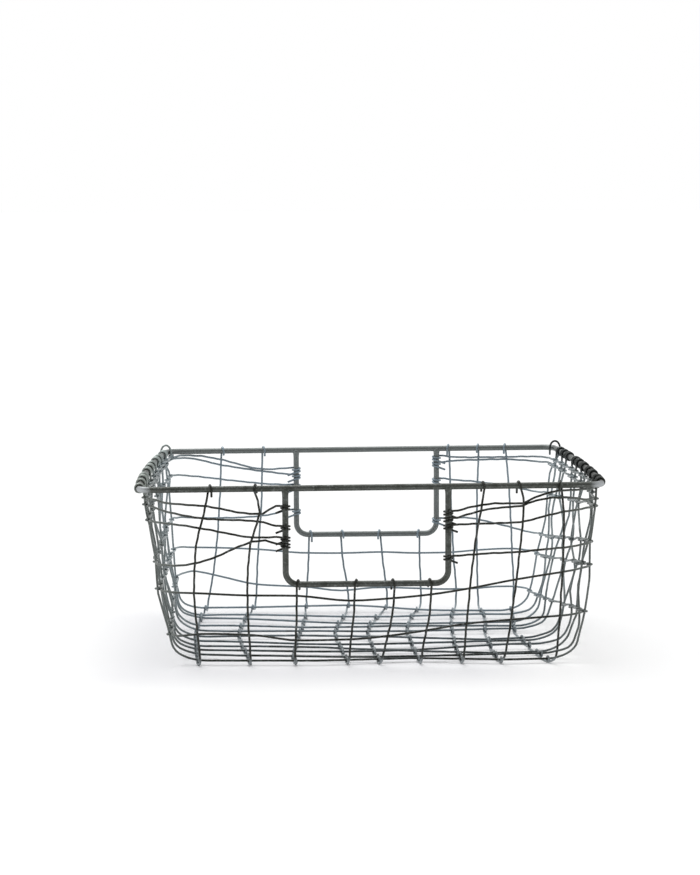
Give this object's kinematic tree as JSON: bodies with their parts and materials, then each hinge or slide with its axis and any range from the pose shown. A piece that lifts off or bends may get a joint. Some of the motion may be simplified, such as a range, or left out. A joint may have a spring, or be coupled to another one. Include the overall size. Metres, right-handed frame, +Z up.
{
  "type": "wire mesh basket",
  "caption": "Low rectangular storage basket of hand-bent wire mesh, with a thick rod rim and a square cut-down handle at the front and the back.",
  "frame": {"origin": "on the surface that the basket stands on, under the middle of its rim", "axes": "+X along the length to the right, +Y from the front to the back, +Z up"},
  "size_m": [0.4063, 0.3038, 0.1643],
  "materials": {
    "grey_rod": "dull grey steel rod, worn",
    "grey_wire": "dull dark grey steel wire, worn"
  },
  "bodies": {
    "root": {"rim_frame": "grey_rod", "front_handle": "grey_rod", "back_handle": "grey_rod", "depth_wire_1": "grey_wire", "depth_wire_2": "grey_wire", "depth_wire_3": "grey_wire", "depth_wire_4": "grey_wire", "depth_wire_5": "grey_wire", "depth_wire_6": "grey_wire", "depth_wire_7": "grey_wire", "depth_wire_8": "grey_wire", "depth_wire_9": "grey_wire", "length_wire_1": "grey_wire", "length_wire_2": "grey_wire", "length_wire_3": "grey_wire", "length_wire_4": "grey_wire", "length_wire_5": "grey_wire", "length_wire_6": "grey_wire", "length_wire_7": "grey_wire", "length_wire_8": "grey_wire", "length_wire_9": "grey_wire", "length_wire_10": "grey_wire", "length_wire_11": "grey_wire", "left_hoop_1": "grey_wire", "left_hoop_2": "grey_wire", "left_hoop_3": "grey_wire", "left_hoop_4": "grey_wire", "right_hoop_1": "grey_wire", "right_hoop_2": "grey_wire", "right_hoop_3": "grey_wire", "right_hoop_4": "grey_wire", "full_hoop_upper": "grey_wire", "full_hoop_lower": "grey_wire"}
  },
  "joints": []
}
